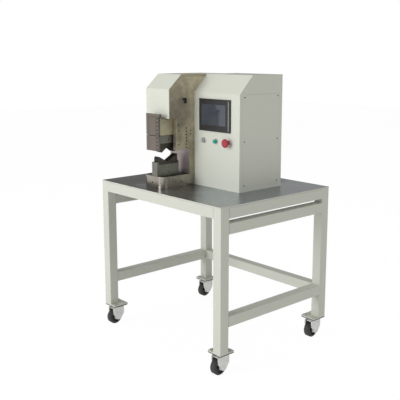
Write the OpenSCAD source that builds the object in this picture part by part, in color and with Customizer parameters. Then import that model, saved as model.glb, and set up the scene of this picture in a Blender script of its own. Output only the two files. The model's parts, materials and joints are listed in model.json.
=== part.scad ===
// Terminal crimping machine: C-frame press with interleaved V-blade dies, on a castored bench.
// Millimetres, +Z up. The origin is on the floor below the middle of the whole part.
// Positions are measured from the middle of the bench, and heights called _z in the press,
// cabinet and control sections from the bench top.

/* [Bench] */
// Width of the bench top, left to right
bench_w = 905; // [700:5:1200]
// Depth of the bench top, front to back
bench_d = 730; // [650:5:900]
// Height of the bench top above the floor
bench_h = 779; // [700:1:900]
// Side of the square frame tube
tube = 50; // [40:1:60]
// Outer corner radius of the frame tube
tube_r = 3; // [1:0.5:6]
// Thickness of the steel bench top
top_t = 6; // [4:0.5:12]
// Height of the slot between the two side rails
slot_gap = 20; // [10:1:40]
// Height of the stretchers' underside above the floor
stretcher_z = 229; // [180:1:320]

/* [Castors] */
// Side of the square foot plate under each leg
foot_plate_w = 85; // [80:1:100]
// Thickness of the foot plate
foot_plate_t = 6; // [4:0.5:10]
// Thickness of the castor's own top plate
castor_plate_t = 4; // [3:0.5:6]
// Height of the castor below its top plate
castor_h = 100; // [98:1:120]
// Diameter of the castor wheel
wheel_d = 76; // [60:1:80]
// Width of the castor wheel
wheel_w = 32; // [24:1:38]
// Distance of the axle from the swivel axis
castor_trail = 16; // [8:1:24]
// Hole-to-hole distance of the castor bolts
castor_bolt_pitch = 60; // [56:1:64]
// Diameter of the castor bolts
castor_bolt_d = 8; // [6:1:10]

/* [Press frame] */
// Position of the frame's right face, where the cabinet begins
frame_right = -42; // [-80:1:0]
// Width of the frame, left to right
frame_w = 152; // [140:1:180]
// Thickness of the base slab
base_t = 56; // [40:1:80]
// Position of the front of the base nose
base_front = -292; // [-320:1:-290]
// Radius of the base nose's vertical corners
nose_r = 35; // [20:1:45]
// Clear height of the throat
throat_h = 126; // [120:1:140]
// Position of the throat's back wall
throat_back = -117; // [-130:1:-100]
// Position of the frame's back face
frame_back = -7; // [-30:1:10]
// Thickness of the two cheek plates
cheek_t = 27; // [20:1:30]
// Position of the front of the cheeks below the step
cheek_low_front = -200; // [-205:1:-180]
// Thickness of the head's top plate
head_top_t = 12; // [8:1:16]

/* [Head cover] */
// Height of the machine above the bench top
head_h = 547; // [530:1:600]
// Position of the cover's front face
head_front = -245; // [-255:1:-243]
// Height where the cover's slope begins
slope_z = 478; // [470:1:490]
// Position of the top of the slope
slope_back = -169; // [-180:1:-150]
// Distance from the frame to the cover's left side
cover_left_gap = 26; // [15:1:40]
// Sheet thickness of the covers
sheet_t = 2; // [1.5:0.1:3]
// Height of the cover's lower edge at the left
cover_low_z = 352; // [350:1:360]
// Height of the lower edge of the tab beside the guide
cover_tab_z = 337; // [337:1:345]
// Width of the tab
cover_tab_w = 62; // [50:1:70]
// Depth of the cover behind the column
rear_cover_d = 119; // [110:1:150]

/* [Ram and guide] */
// Stroke of the ram
ram_stroke = 45; // [20:1:45]
// Width of the ram bar
ram_w = 64; // [50:1:66]
// Depth of the ram bar
ram_d = 88; // [70:1:88]
// Position of the ram axis, front to back
ram_y = -194; // [-196:1:-192]
// Height of the guide's underside
guide_z = 256; // [254:1:260]
// Height of the guide block's top
guide_top_z = 335; // [320:1:335]
// Height of the guide face plate's top
guide_face_top_z = 346; // [335:1:350]
// Position of the front of the face plates
slide_front = -290; // [-295:1:-285]
// Thickness of the face plates
face_plate_t = 12; // [8:1:12]
// Width of the face plates
face_plate_w = 94; // [80:1:96]
// Height of the seam between the two face plates
seam_gap = 2; // [1:0.5:4]
// Thickness of the bronze gibs
gib_t = 5; // [4:0.5:6]
// Clearance of the ram on each gib
ram_gap = 0.3; // [0.2:0.05:0.4]
// Height of the ram front plate's lower edge
ram_plate_z = 180; // [178:1:190]
// Width of the upper die holder
upper_holder_w = 84; // [60:1:88]

/* [Dies] */
// Thickness of the dies along the cable
die_w = 41; // [36:1:44]
// Distance from the frame's right face to the dies
die_right_gap = 40; // [34:1:50]
// Position of the V's middle, front to back
die_y = -222; // [-226:1:-218]
// Position of the back of the lower die holder
holder_back = -155; // [-158:1:-150]
// Height of the holder's end stops
holder_stop_z = 125; // [116:1:128]
// Height of the lower V's bottom
lower_v_z = 122; // [120:1:126]
// Included angle of the lower V
lower_angle = 120; // [114:1:130]
// Height of the lower blades' front edge
lower_lip_z = 140; // [134:1:146]
// Height of the lower blades' rear arm
lower_arm_z = 158; // [150:1:159]
// Height of the upper V's apex
upper_v_z = 199; // [196:1:202]
// Included angle of the upper V
upper_angle = 107; // [104:1:120]
// Number of blades in each die
blades = 5; // [4:1:6]
// Side clearance between a blade and its neighbour
blade_gap = 0.4; // [0.25:0.05:0.6]

/* [Drive] */
// Diameter of the ball screw
screw_d = 32; // [20:1:32]
// Advance of the ram for each turn of the screw
screw_lead = 20; // [10:1:20]
// Pitch diameter of both belt pulleys
pulley_d = 56; // [40:1:56]
// Distance of the pulleys' underside below the top of the machine
pulley_drop = 83; // [81:1:85]
// Width of the toothed belt
belt_w = 14; // [10:1:14]
// Side of the square servo motor
motor_w = 80; // [60:1:86]
// Length of the servo motor's body
motor_len = 130; // [100:1:160]
// Position of the motor axis, front to back
motor_y = 52; // [48:1:56]

/* [Cabinet] */
// Width of the cabinet
cab_w = 320; // [300:1:380]
// Position of the cabinet's front
cab_front = -85; // [-100:1:-60]
// Position of the cabinet's back
cab_back = 203; // [180:1:260]
// Height where the cabinet's slope begins
cab_slope_z = 460; // [450:1:480]
// Position of the top of the cabinet's slope
cab_slope_back = -2; // [-20:1:20]
// Height of the side panel's upper edge
side_panel_top = 458; // [400:1:458]
// Margin of the side panel at the front, back and bottom
side_panel_margin = 20; // [15:1:40]

/* [Controls] */
// Width of the touch screen's bezel
hmi_w = 217; // [180:1:230]
// Height of the touch screen's bezel
hmi_h = 155; // [130:1:160]
// Height of the bezel's lower edge
hmi_z = 277; // [270:1:290]
// Distance of the bezel from the cabinet's left side
hmi_left = 44; // [30:1:60]
// Width of the visible glass
glass_w = 168; // [140:1:175]
// Height of the visible glass
glass_h = 100; // [80:1:110]
// Height of the row of controls
controls_z = 230; // [200:1:245]
// Distance of the selector from the cabinet's left side
selector_x = 73; // [60:1:90]
// Distance between the controls
control_pitch = 86; // [70:1:95]
// Diameter of the panel holes
panel_hole_d = 22.3; // [16:0.1:30.5]
// Travel of the start button
start_travel = 3; // [2:0.5:5]
// Travel of the emergency-stop button
estop_travel = 5; // [3:0.5:6]

/* [Hidden] */
$fn = 48;

// Gaps and overruns shared by all pieces
overrun = 2;
seat_gap = 0.3;

// Levels of the bench and the castors
wheel_overhang = max(0, castor_trail + wheel_d / 2 - foot_plate_w / 2);
origin_shift = wheel_overhang / 2;
leg_z = castor_h + castor_plate_t + foot_plate_t;
leg_h = bench_h - top_t - leg_z;
rail_z = bench_h - top_t - tube;
lower_rail_z = rail_z - slot_gap - tube;
leg_x = bench_w / 2 - tube / 2;
leg_y = bench_d / 2 - tube / 2;
castor_x = bench_w / 2 - foot_plate_w / 2;
castor_y = bench_d / 2 - foot_plate_w / 2;

// Castor fork, wheel and bolt sizes
fork_t = 3;
fork_side_gap = 3;
fork_top_drop = 14;
fork_crown_t = 4;
fork_front = 30;
fork_back = 27;
fork_shoulder = 16;
fork_boss_r = 12;
race_r = 28;
race_neck_r = 22;
race_h = 6;
swivel_gap = 0.4;
axle_r = 4;
axle_fit = 0.08;
axle_head_r = 7;
axle_head_t = 4;
tread_shoulder = 4;
wheel_hub_r = 13;
wheel_web_depth = 6;
wheel_rim_t = 12;
bolt_head_share = 0.95;
bolt_head_t = 5;
bolt_hole_gap = 0.3;

// Press frame levels and planes
frame_left = frame_right - frame_w;
throat_top = base_t + throat_h;
space_left = frame_left + cheek_t;
space_right = frame_right - cheek_t;
cover_seat = sheet_t + seat_gap;
slope_run = slope_back - head_front;
slope_rise = head_h - slope_z;
slope_len = sqrt(slope_run * slope_run + slope_rise * slope_rise);
function slope_y(z, inset) = head_front + (z - slope_z) * slope_run / slope_rise
    + inset * slope_len / slope_rise;
function slope_low_z(inset) = slope_z - inset * (slope_len - slope_rise) / slope_run;
cheek_top = head_h - head_top_t;
base_hole_r = 4;
base_hole_depth = 12;
base_hole_z = 24;
base_side_hole_y = -172;

// Ram, guide and dies
ram_x = (space_left + space_right) / 2;
block_front = slide_front + face_plate_t;
guide_back = throat_back - seat_gap;
ram_z = guide_z - seam_gap;
ram_top_z = guide_top_z + ram_stroke + 2 * seam_gap;
holder_overhang = 6;
upper_holder_back = ram_y + ram_d / 2 + holder_overhang;
stop_t = 15;
die_right = frame_right - die_right_gap;
die_left = die_right - die_w;
die_setback = 1;
die_front = block_front + die_setback;
lower_spine_t = 8;
lower_web_h = 10;
lower_spine_z = lower_v_z - lower_web_h;
lower_back_gap = 5;
lower_back = holder_back - lower_back_gap;
lower_front_lead = 5;
lower_tip_front = die_front + lower_front_lead;
lower_back_lead = 10;
lower_tip_back = lower_back - lower_back_lead;
lower_tan = tan(90 - lower_angle / 2);
upper_spine_t = 11;
upper_web_h = 6;
upper_spine_z = upper_v_z + upper_web_h;
upper_tan = tan(90 - upper_angle / 2);
upper_reach = 38;
upper_tip_z = upper_v_z - upper_reach * upper_tan;
upper_leg_rise = 13;
upper_back = upper_holder_back - stop_t - seat_gap;
blade_pitch = die_w / blades;
blade_t = blade_pitch / 2 - blade_gap;
locating_hole_r = 3;
locating_hole_depth = 8;

// Drive train
nut_flange_r = 36;
nut_flange_t = 12;
nut_body_r = 25;
nut_body_len = 48;
screw_bore_gap = 1;
pulley_z = head_h - pulley_drop;
screw_tip_gap = 8;
screw_tip_z = ram_z + screw_tip_gap;
journal_r = 12;
journal_fit = 0.05;
bearing_h = 44;
bearing_pulley_gap = 4;
bearing_z = pulley_z - bearing_pulley_gap - bearing_h;
bearing_d = 68;
pulley_flange_t = 1.6;
pulley_flange_r = pulley_d / 2 + 2;
belt_t = 3;
belt_gap = 0.3;
belt_side_gap = 0.4;
pulley_h = belt_w + 2 * (pulley_flange_t + belt_side_gap);
shaft_r = 7;
bracket_t = 10;
bracket_h = 60;
bracket_pulley_gap = 6;
bracket_z = pulley_z - bracket_pulley_gap - bracket_t;
bracket_overhang = 8;
bracket_back = motor_y + motor_w / 2 + bracket_overhang;
bracket_side = 6;
motor_pilot_r = 35;
motor_pilot_t = 3;

// Cap screws of the press frame
cap_r = 5;
cap_h = 3;
small_cap_r = 3.2;
screw_row_y = -138;
screw_row_z = 190;
screw_row_pitch = 16;
screw_row_count = 7;
screw_col_y = -182;
fitting_y = -140;
fitting_z = 408;

// Cabinet
cab_left = frame_right;
cab_right = cab_left + cab_w;
cab_run = cab_slope_back - cab_front;
cab_rise = head_h - cab_slope_z;
ledge_w = 12;
panel_gap = 0.5;
panel_t = 1.5;
lip = 12;
glass_shift_x = 6;
glass_rise = 2;
vent_w = 60;
vent_h = 4;
vent_pitch = 11;
vent_count = 6;
back_vent_drop = 150;
cab_len = sqrt(cab_run * cab_run + cab_rise * cab_rise);
function cab_low_z(inset) = cab_slope_z - inset * (cab_len - cab_rise) / cab_run;
inlet_w = 48;
inlet_h = 28;
inlet_t = 4;
inlet_z = 50;
inlet_side = 42;
drive_w = 60;
drive_d = 160;
drive_h = 180;
drive_z = 120;
drive_back = 23;
panel_screw_r = 3;
panel_screw_t = 1.6;
bezel_t = 7;
bezel_step = 2;
glass_t = 1.2;
hmi_body_d = 32;
hmi_body_inset = 8;
collar_r = 14.5;
collar_t = 3;
collar_pipe_len = 24;
button_r = 9.4;
button_out = 14;
button_fit = 0.3;
mushroom_r = 21;
mushroom_t = 14;
mushroom_neck_r = 12;
stem_r = 9.4;
stem_out = 16;
head_pin_r = 5;
head_pin_len = 7;
head_pin_fit = 0.05;
knob_r = 9.4;
knob_out = 11;
knob_bar_w = 8;
knob_bar_out = 10;

function cab_slope_y(z, inset) = cab_front + (z - cab_slope_z) * cab_run / cab_rise
    + inset * cab_len / cab_rise;
function control_x(i) = cab_left + selector_x + i * control_pitch;

// Shared shapes

// Box between two corners
module box(low, high) {
    translate(low) cube(high - low);
}

// Outline drawn as (y, z), pulled along X from x0 to x1
module along_x(x0, x1) {
    translate([x0, 0, 0]) rotate([90, 0, 90]) linear_extrude(x1 - x0) children();
}

// Outline drawn as (x, z), pulled along Y from y0 to y1
module along_y(y0, y1) {
    translate([0, y1, 0]) rotate([90, 0, 0]) linear_extrude(y1 - y0) children();
}

// Rectangle with round corners, centred
module round_rect(w, d, r) {
    square([w - 2 * r, d], center = true);
    square([w, d - 2 * r], center = true);
    for (sx = [-1, 1], sy = [-1, 1])
        translate([sx * (w / 2 - r), sy * (d / 2 - r)]) circle(r);
}

module on_bench() {
    translate([0, origin_shift, bench_h]) children();
}

module on_floor() {
    translate([0, origin_shift, 0]) children();
}

module rod_y(x, y0, y1, z, r) {
    translate([x, y1, z]) rotate([90, 0, 0]) cylinder(r = r, h = y1 - y0);
}

module rod_x(x0, x1, y, z, r) {
    translate([x0, y, z]) rotate([0, 90, 0]) cylinder(r = r, h = x1 - x0);
}

// Bench frame

module leg(sx, sy) {
    color([0.86, 0.87, 0.82]) on_floor() translate([sx * leg_x, sy * leg_y, leg_z])
        linear_extrude(leg_h) round_rect(tube, tube, tube_r);
}

module rail_x(sy, z) {
    color([0.86, 0.87, 0.82]) on_floor() along_x(-leg_x + tube / 2, leg_x - tube / 2)
        translate([sy * leg_y, z + tube / 2]) round_rect(tube, tube, tube_r);
}

module rail_y(sx, z) {
    color([0.80, 0.81, 0.76]) on_floor() along_y(-leg_y + tube / 2, leg_y - tube / 2)
        translate([sx * leg_x, z + tube / 2]) round_rect(tube, tube, tube_r);
}

module table_top() {
    color([0.30, 0.31, 0.31]) on_floor()
        box([-bench_w / 2, -bench_d / 2, bench_h - top_t], [bench_w / 2, bench_d / 2, bench_h]);
}

module side_pair(z) {
    for (sx = [-1, 1]) rail_y(sx, z);
}

module corner_bolt_places(cx, cy) {
    for (sx = [-1, 1], sy = [-1, 1])
        translate([cx + sx * castor_bolt_pitch / 2, cy + sy * castor_bolt_pitch / 2, 0]) children();
}

module at_corners() {
    on_floor() for (sx = [-1, 1], sy = [-1, 1]) translate([sx * castor_x, sy * castor_y, 0]) children();
}

module drilled_plate(z, t, tone) {
    color(tone) difference() {
        translate([0, 0, z]) linear_extrude(t) round_rect(foot_plate_w, foot_plate_w, tube_r);
        corner_bolt_places(0, 0) translate([0, 0, z - overrun])
            cylinder(r = castor_bolt_d / 2 + bolt_hole_gap, h = t + 2 * overrun);
    }
}

module foot_plates() {
    at_corners() drilled_plate(castor_h + castor_plate_t, foot_plate_t, [0.86, 0.87, 0.82]);
}

module castor_plates() {
    at_corners() drilled_plate(castor_h, castor_plate_t, [0.25, 0.26, 0.26]);
}

// Three bolts at each corner carry a nut; the fourth ends in the leg's foot plate
module castor_bolts() {
    head_r = castor_bolt_d * bolt_head_share;
    for (sx = [-1, 1], sy = [-1, 1], bx = [-1, 1], by = [-1, 1])
        color([0.60, 0.62, 0.64]) on_floor()
            translate([sx * castor_x + bx * castor_bolt_pitch / 2, sy * castor_y + by * castor_bolt_pitch / 2, 0]) {
            translate([0, 0, castor_h - bolt_head_t]) cylinder(r = head_r, h = bolt_head_t, $fn = 6);
            translate([0, 0, castor_h - overrun])
                cylinder(r = castor_bolt_d / 2, h = leg_z - castor_h + overrun);
            if (bx != sx || by != sy)
                translate([0, 0, leg_z]) cylinder(r = head_r, h = bolt_head_t, $fn = 6);
        }
}

// Castors

module fork_side_outline() {
    top = castor_h - fork_top_drop;
    axle_z = wheel_d / 2;
    polygon([[-fork_front, top], [fork_back, top], [fork_back, top - fork_shoulder],
        [-castor_trail + fork_boss_r, axle_z], [-castor_trail - fork_boss_r, axle_z],
        [-fork_front, top - fork_shoulder]]);
    translate([-castor_trail, axle_z]) circle(fork_boss_r);
}

module castor_fork(sx, sy) {
    inner = wheel_w / 2 + fork_side_gap;
    outer = inner + fork_t;
    top = castor_h - fork_top_drop;
    on_floor() translate([sx * castor_x, sy * castor_y, 0]) {
        color([0.72, 0.74, 0.75]) difference() {
            union() {
                along_x(-outer, outer) fork_side_outline();
                translate([0, 0, top - fork_crown_t]) cylinder(r = race_neck_r, h = castor_h - top
                    + fork_crown_t - swivel_gap);
                translate([0, 0, top]) cylinder(r = race_r, h = race_h);
            }
            box([-inner, -fork_front - castor_trail - fork_boss_r, 0],
                [inner, fork_back + fork_boss_r, top - fork_crown_t]);
            rod_x(-outer - overrun, outer + overrun, -castor_trail, wheel_d / 2, axle_r);
        }
        color([0.45, 0.46, 0.47]) {
            rod_x(-outer, outer, -castor_trail, wheel_d / 2, axle_r);
            for (side = [-1, 1])
                translate([side * outer + (side < 0 ? -axle_head_t : 0), -castor_trail, wheel_d / 2])
                    rotate([0, 90, 0]) cylinder(r = axle_head_r, h = axle_head_t, $fn = 6);
        }
    }
}

module castor_wheel(sx, sy) {
    half = wheel_w / 2;
    hub_half = half + fork_side_gap - seat_gap;
    r = wheel_d / 2;
    color([0.12, 0.12, 0.13]) on_floor() translate([sx * castor_x, sy * castor_y - castor_trail, r])
        rotate([0, 90, 0]) rotate_extrude() polygon([[axle_r + axle_fit, -hub_half],
            [wheel_hub_r, -hub_half], [wheel_hub_r, -half + wheel_web_depth],
            [r - wheel_rim_t, -half + wheel_web_depth], [r - wheel_rim_t, -half],
            [r - tread_shoulder, -half], [r, -half + tread_shoulder], [r, half - tread_shoulder],
            [r - tread_shoulder, half], [r - wheel_rim_t, half], [r - wheel_rim_t, half - wheel_web_depth],
            [wheel_hub_r, half - wheel_web_depth], [wheel_hub_r, hub_half],
            [axle_r + axle_fit, hub_half]]);
}

// Press frame

module press_base() {
    color([0.45, 0.43, 0.41]) on_bench() difference() {
        linear_extrude(base_t) {
            translate([frame_left, base_front + nose_r])
                square([frame_w, frame_back - base_front - nose_r]);
            translate([frame_left + nose_r, base_front]) square([frame_w - 2 * nose_r, nose_r]);
            for (x = [frame_left + nose_r, frame_right - nose_r])
                translate([x, base_front + nose_r]) circle(nose_r);
        }
        rod_y(ram_x, base_front - overrun, base_front + base_hole_depth, base_hole_z, base_hole_r);
        rod_x(frame_right - base_hole_depth, frame_right + overrun, base_side_hole_y, base_hole_z, base_hole_r);
    }
}

module press_column() {
    color([0.43, 0.41, 0.39]) on_bench()
        box([frame_left, throat_back, base_t], [frame_right, frame_back, throat_top]);
}

// Side plate of the head, stepped forward above the guide block
module cheek(x0) {
    color([0.42, 0.39, 0.34]) on_bench() along_x(x0, x0 + cheek_t)
        polygon([[cheek_low_front, throat_top], [frame_back, throat_top], [frame_back, cheek_top],
            [slope_y(cheek_top, cover_seat), cheek_top], [head_front + cover_seat, slope_low_z(cover_seat)],
            [head_front + cover_seat, cover_tab_z], [cheek_low_front, cover_tab_z]]);
}

module head_top_plate() {
    color([0.40, 0.39, 0.37]) on_bench() along_x(frame_left, frame_right)
        polygon([[slope_y(cheek_top, cover_seat), cheek_top], [frame_back, cheek_top],
            [frame_back, head_h], [slope_y(head_h, cover_seat), head_h]]);
}

// Guide block with its through slot for the ram and gibs
module ram_guide() {
    half_w = ram_w / 2 + ram_gap + gib_t;
    half_d = ram_d / 2 + ram_gap + gib_t;
    color([0.47, 0.45, 0.36]) on_bench() difference() {
        box([space_left, block_front, guide_z], [space_right, guide_back, guide_top_z]);
        box([ram_x - half_w, ram_y - half_d, guide_z - overrun],
            [ram_x + half_w, ram_y + half_d, guide_top_z + overrun]);
    }
}

module guide_gibs() {
    half_w = ram_w / 2 + ram_gap;
    half_d = ram_d / 2 + ram_gap;
    color([0.72, 0.55, 0.30]) on_bench() {
        for (x = [ram_x - half_w - gib_t, ram_x + half_w])
            box([x, ram_y - half_d - gib_t, guide_z], [x + gib_t, ram_y + half_d + gib_t, guide_top_z]);
        for (y = [ram_y - half_d - gib_t, ram_y + half_d])
            box([ram_x - half_w + seat_gap, y, guide_z], [ram_x + half_w - seat_gap, y + gib_t, guide_top_z]);
    }
}

module face_plate(z0, z1) {
    color([0.50, 0.44, 0.42]) on_bench()
        box([ram_x - face_plate_w / 2, slide_front, z0], [ram_x + face_plate_w / 2, block_front, z1]);
}

// Ram bar, bored from the top for the nut and the screw
module ram() {
    color([0.46, 0.45, 0.44]) on_bench() difference() {
        box([ram_x - ram_w / 2, ram_y - ram_d / 2, ram_z], [ram_x + ram_w / 2, ram_y + ram_d / 2, ram_top_z]);
        translate([ram_x, ram_y, ram_top_z - nut_body_len]) cylinder(r = nut_body_r, h = nut_body_len + overrun);
        translate([ram_x, ram_y, screw_tip_z - screw_bore_gap])
            cylinder(r = screw_d / 2 + screw_bore_gap, h = ram_top_z - screw_tip_z);
    }
}

// Holder with a rear stop behind the die
module upper_die_holder() {
    half_w = upper_holder_w / 2;
    spine_top = upper_spine_z + upper_spine_t;
    color([0.22, 0.24, 0.26]) on_bench() difference() {
        along_x(ram_x - half_w, ram_x + half_w) polygon([[block_front, spine_top], [block_front, ram_z],
            [upper_holder_back, ram_z], [upper_holder_back, upper_spine_z],
            [upper_holder_back - stop_t, upper_spine_z], [upper_holder_back - stop_t, spine_top]]);
        rod_x(ram_x + half_w - locating_hole_depth, ram_x + half_w + overrun, die_y,
            (spine_top + ram_z) / 2, locating_hole_r);
    }
}

// Comb of blades below a spine; they pass between the blades of the lower die
module upper_die() {
    front_tip = die_y - upper_reach;
    back_tip = die_y + upper_reach;
    low = upper_tip_z + upper_leg_rise;
    color([0.10, 0.10, 0.11]) on_bench() {
        box([die_left, die_front, upper_spine_z], [die_right, upper_back, upper_spine_z + upper_spine_t]);
        for (i = [0 : blades - 1])
            along_x(die_left + (i + 1 / 2) * blade_pitch + blade_gap / 2,
                die_left + (i + 1 / 2) * blade_pitch + blade_gap / 2 + blade_t)
                polygon([[die_front, upper_spine_z + upper_spine_t / 2], [die_front, low],
                    [front_tip, upper_tip_z], [die_y, upper_v_z], [back_tip, upper_tip_z],
                    [upper_back, low], [upper_back, upper_spine_z + upper_spine_t / 2]]);
    }
}

// Channel with an end stop at the front and the back
module lower_die_holder() {
    color([0.24, 0.27, 0.26]) on_bench() difference() {
        along_x(die_left, die_right) polygon([[slide_front, base_t], [holder_back, base_t],
            [holder_back, holder_stop_z], [lower_back + seat_gap, holder_stop_z],
            [lower_back + seat_gap, lower_spine_z], [die_front - seat_gap, lower_spine_z],
            [die_front - seat_gap, holder_stop_z], [slide_front, holder_stop_z]]);
        for (z = [base_t + locating_hole_depth * 2, lower_spine_z - locating_hole_depth * 2])
            rod_x(die_right - locating_hole_depth, die_right + overrun, die_y, z, locating_hole_r);
    }
}

module lower_die() {
    mid = lower_spine_z + lower_spine_t / 2;
    color([0.10, 0.10, 0.11]) on_bench() {
        box([die_left, die_front, lower_spine_z], [die_right, lower_back, lower_spine_z + lower_spine_t]);
        for (i = [0 : blades - 1])
            along_x(die_left + i * blade_pitch + blade_gap / 2,
                die_left + i * blade_pitch + blade_gap / 2 + blade_t)
                polygon([[die_front, mid], [lower_back, mid], [lower_back, lower_arm_z],
                    [lower_tip_back, lower_v_z + (lower_tip_back - die_y) * lower_tan],
                    [die_y, lower_v_z], [lower_tip_front, lower_v_z + (die_y - lower_tip_front) * lower_tan],
                    [die_front, lower_lip_z]]);
    }
}

// Drive train

module drive_screw() {
    color([0.66, 0.67, 0.68]) on_bench() translate([ram_x, ram_y, 0]) {
        translate([0, 0, screw_tip_z]) cylinder(r = screw_d / 2, h = bearing_z - seat_gap - screw_tip_z);
        translate([0, 0, bearing_z - overrun]) cylinder(r = journal_r, h = pulley_z + pulley_h - bearing_z + overrun);
    }
}

module screw_nut() {
    color([0.55, 0.56, 0.57]) on_bench() translate([ram_x, ram_y, ram_top_z]) difference() {
        union() {
            cylinder(r = nut_flange_r, h = nut_flange_t);
            translate([0, 0, -nut_body_len]) cylinder(r = nut_body_r, h = nut_body_len + overrun);
        }
        translate([0, 0, -nut_body_len - overrun])
            cylinder(r = screw_d / 2 + journal_fit, h = nut_body_len + nut_flange_t + 2 * overrun);
    }
}

module pulley(x, y, bore_r) {
    color([0.60, 0.61, 0.62]) on_bench() translate([x, y, pulley_z]) difference() {
        union() {
            cylinder(r = pulley_d / 2, h = pulley_h);
            cylinder(r = pulley_flange_r, h = pulley_flange_t);
            translate([0, 0, pulley_h - pulley_flange_t]) cylinder(r = pulley_flange_r, h = pulley_flange_t);
        }
        translate([0, 0, -overrun]) cylinder(r = bore_r, h = pulley_h + 2 * overrun);
    }
}

module screw_pulley() {
    pulley(ram_x, ram_y, journal_r);
}

// Motor pulley with the motor's shaft
module motor_pulley() {
    pulley(ram_x, motor_y, shaft_r);
    color([0.66, 0.67, 0.68]) on_bench() translate([ram_x, motor_y, bracket_z - motor_pilot_t])
        cylinder(r = shaft_r, h = pulley_z + pulley_h - bracket_z + motor_pilot_t);
}

module bearing_block() {
    color([0.44, 0.43, 0.42]) on_bench() difference() {
        box([space_left, ram_y - bearing_d / 2, bearing_z],
            [space_right, ram_y + bearing_d / 2, bearing_z + bearing_h]);
        translate([ram_x, ram_y, bearing_z - overrun])
            cylinder(r = journal_r + journal_fit, h = bearing_h + 2 * overrun);
    }
}

module belt_outline(r) {
    for (y = [ram_y, motor_y]) translate([ram_x, y]) circle(r);
    translate([ram_x - r, ram_y]) square([2 * r, motor_y - ram_y]);
}

module drive_belt() {
    inner = pulley_d / 2 + belt_gap;
    color([0.10, 0.10, 0.10]) on_bench()
        translate([0, 0, pulley_z + (pulley_h - belt_w) / 2]) linear_extrude(belt_w) difference() {
            belt_outline(inner + belt_t);
            belt_outline(inner);
        }
}

module servo_motor() {
    color([0.15, 0.15, 0.16]) on_bench() difference() {
        union() {
            translate([ram_x, motor_y, bracket_z - motor_len]) linear_extrude(motor_len)
                round_rect(motor_w, motor_w, tube_r);
            translate([ram_x, motor_y, bracket_z - motor_pilot_t]) cylinder(r = motor_pilot_r, h = motor_pilot_t + bracket_t);
        }
        translate([ram_x, motor_y, bracket_z - motor_pilot_t - seat_gap])
            cylinder(r = shaft_r + journal_fit, h = bracket_t + 2 * motor_pilot_t);
    }
}

// Angle bracket on the back of the cheeks
module motor_plate() {
    color([0.44, 0.43, 0.42]) on_bench() difference() {
        along_x(frame_left + bracket_side, frame_right - bracket_side) polygon([[frame_back, bracket_z + bracket_t],
            [bracket_back, bracket_z + bracket_t], [bracket_back, bracket_z],
            [frame_back + bracket_t, bracket_z], [frame_back + bracket_t, bracket_z - bracket_h],
            [frame_back, bracket_z - bracket_h]]);
        translate([ram_x, motor_y, bracket_z - overrun]) cylinder(r = motor_pilot_r, h = bracket_t + 2 * overrun);
    }
}

// Covers

module head_outline(inset, low) {
    polygon([[head_front + inset, low], [head_front + inset, slope_low_z(inset)],
        [slope_y(head_h - inset, inset), head_h - inset], [frame_back + overrun, head_h - inset],
        [frame_back + overrun, low]]);
}

// Open at the right, where the cheek shows, and at the back
module head_cover() {
    left = frame_left - cover_left_gap;
    color([0.88, 0.89, 0.84]) on_bench() difference() {
        along_x(left, frame_right) head_outline(0, cover_tab_z);
        along_x(left + sheet_t, frame_right + overrun) head_outline(sheet_t, cover_tab_z - overrun);
        box([frame_left - seat_gap, slope_y(head_h - sheet_t, cover_seat) - seat_gap, cheek_top],
            [frame_right + overrun, frame_back + 2 * overrun, head_h + overrun]);
        box([left - overrun, head_front - overrun, cover_tab_z - overrun],
            [frame_right - cover_tab_w, frame_back + 2 * overrun, cover_low_z]);
        box([left - overrun, frame_back, cover_tab_z - overrun],
            [frame_right + overrun, frame_back + 2 * overrun, head_h + overrun]);
    }
}

module rear_cover() {
    left = frame_left - cover_left_gap;
    front = frame_back + seat_gap;
    back = frame_back + rear_cover_d;
    right = frame_right - seat_gap;
    color([0.88, 0.89, 0.84]) on_bench() difference() {
        box([left, front, 0], [right, back, head_h]);
        box([left + sheet_t, front - overrun, -overrun], [right - sheet_t, back - sheet_t, head_h - sheet_t]);
        for (i = [0 : vent_count - 1]) translate([0, 0, base_t + i * vent_pitch])
            box([ram_x - vent_w / 2, back - sheet_t - overrun, 0], [ram_x + vent_w / 2, back + overrun, vent_h]);
    }
}

// Cap screws on the faces that show
module frame_screws() {
    color([0.12, 0.12, 0.12]) on_bench() {
        for (i = [0 : screw_row_count - 1])
            rod_x(frame_right, frame_right + cap_h, screw_row_y, screw_row_z + i * screw_row_pitch, small_cap_r);
    }
}

// Cabinet

module cab_outline(inset) {
    polygon([[cab_front + inset, inset], [cab_front + inset, cab_low_z(inset)],
        [cab_slope_y(head_h - inset, inset), head_h - inset], [cab_back - inset, head_h - inset],
        [cab_back - inset, inset]]);
}

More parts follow.
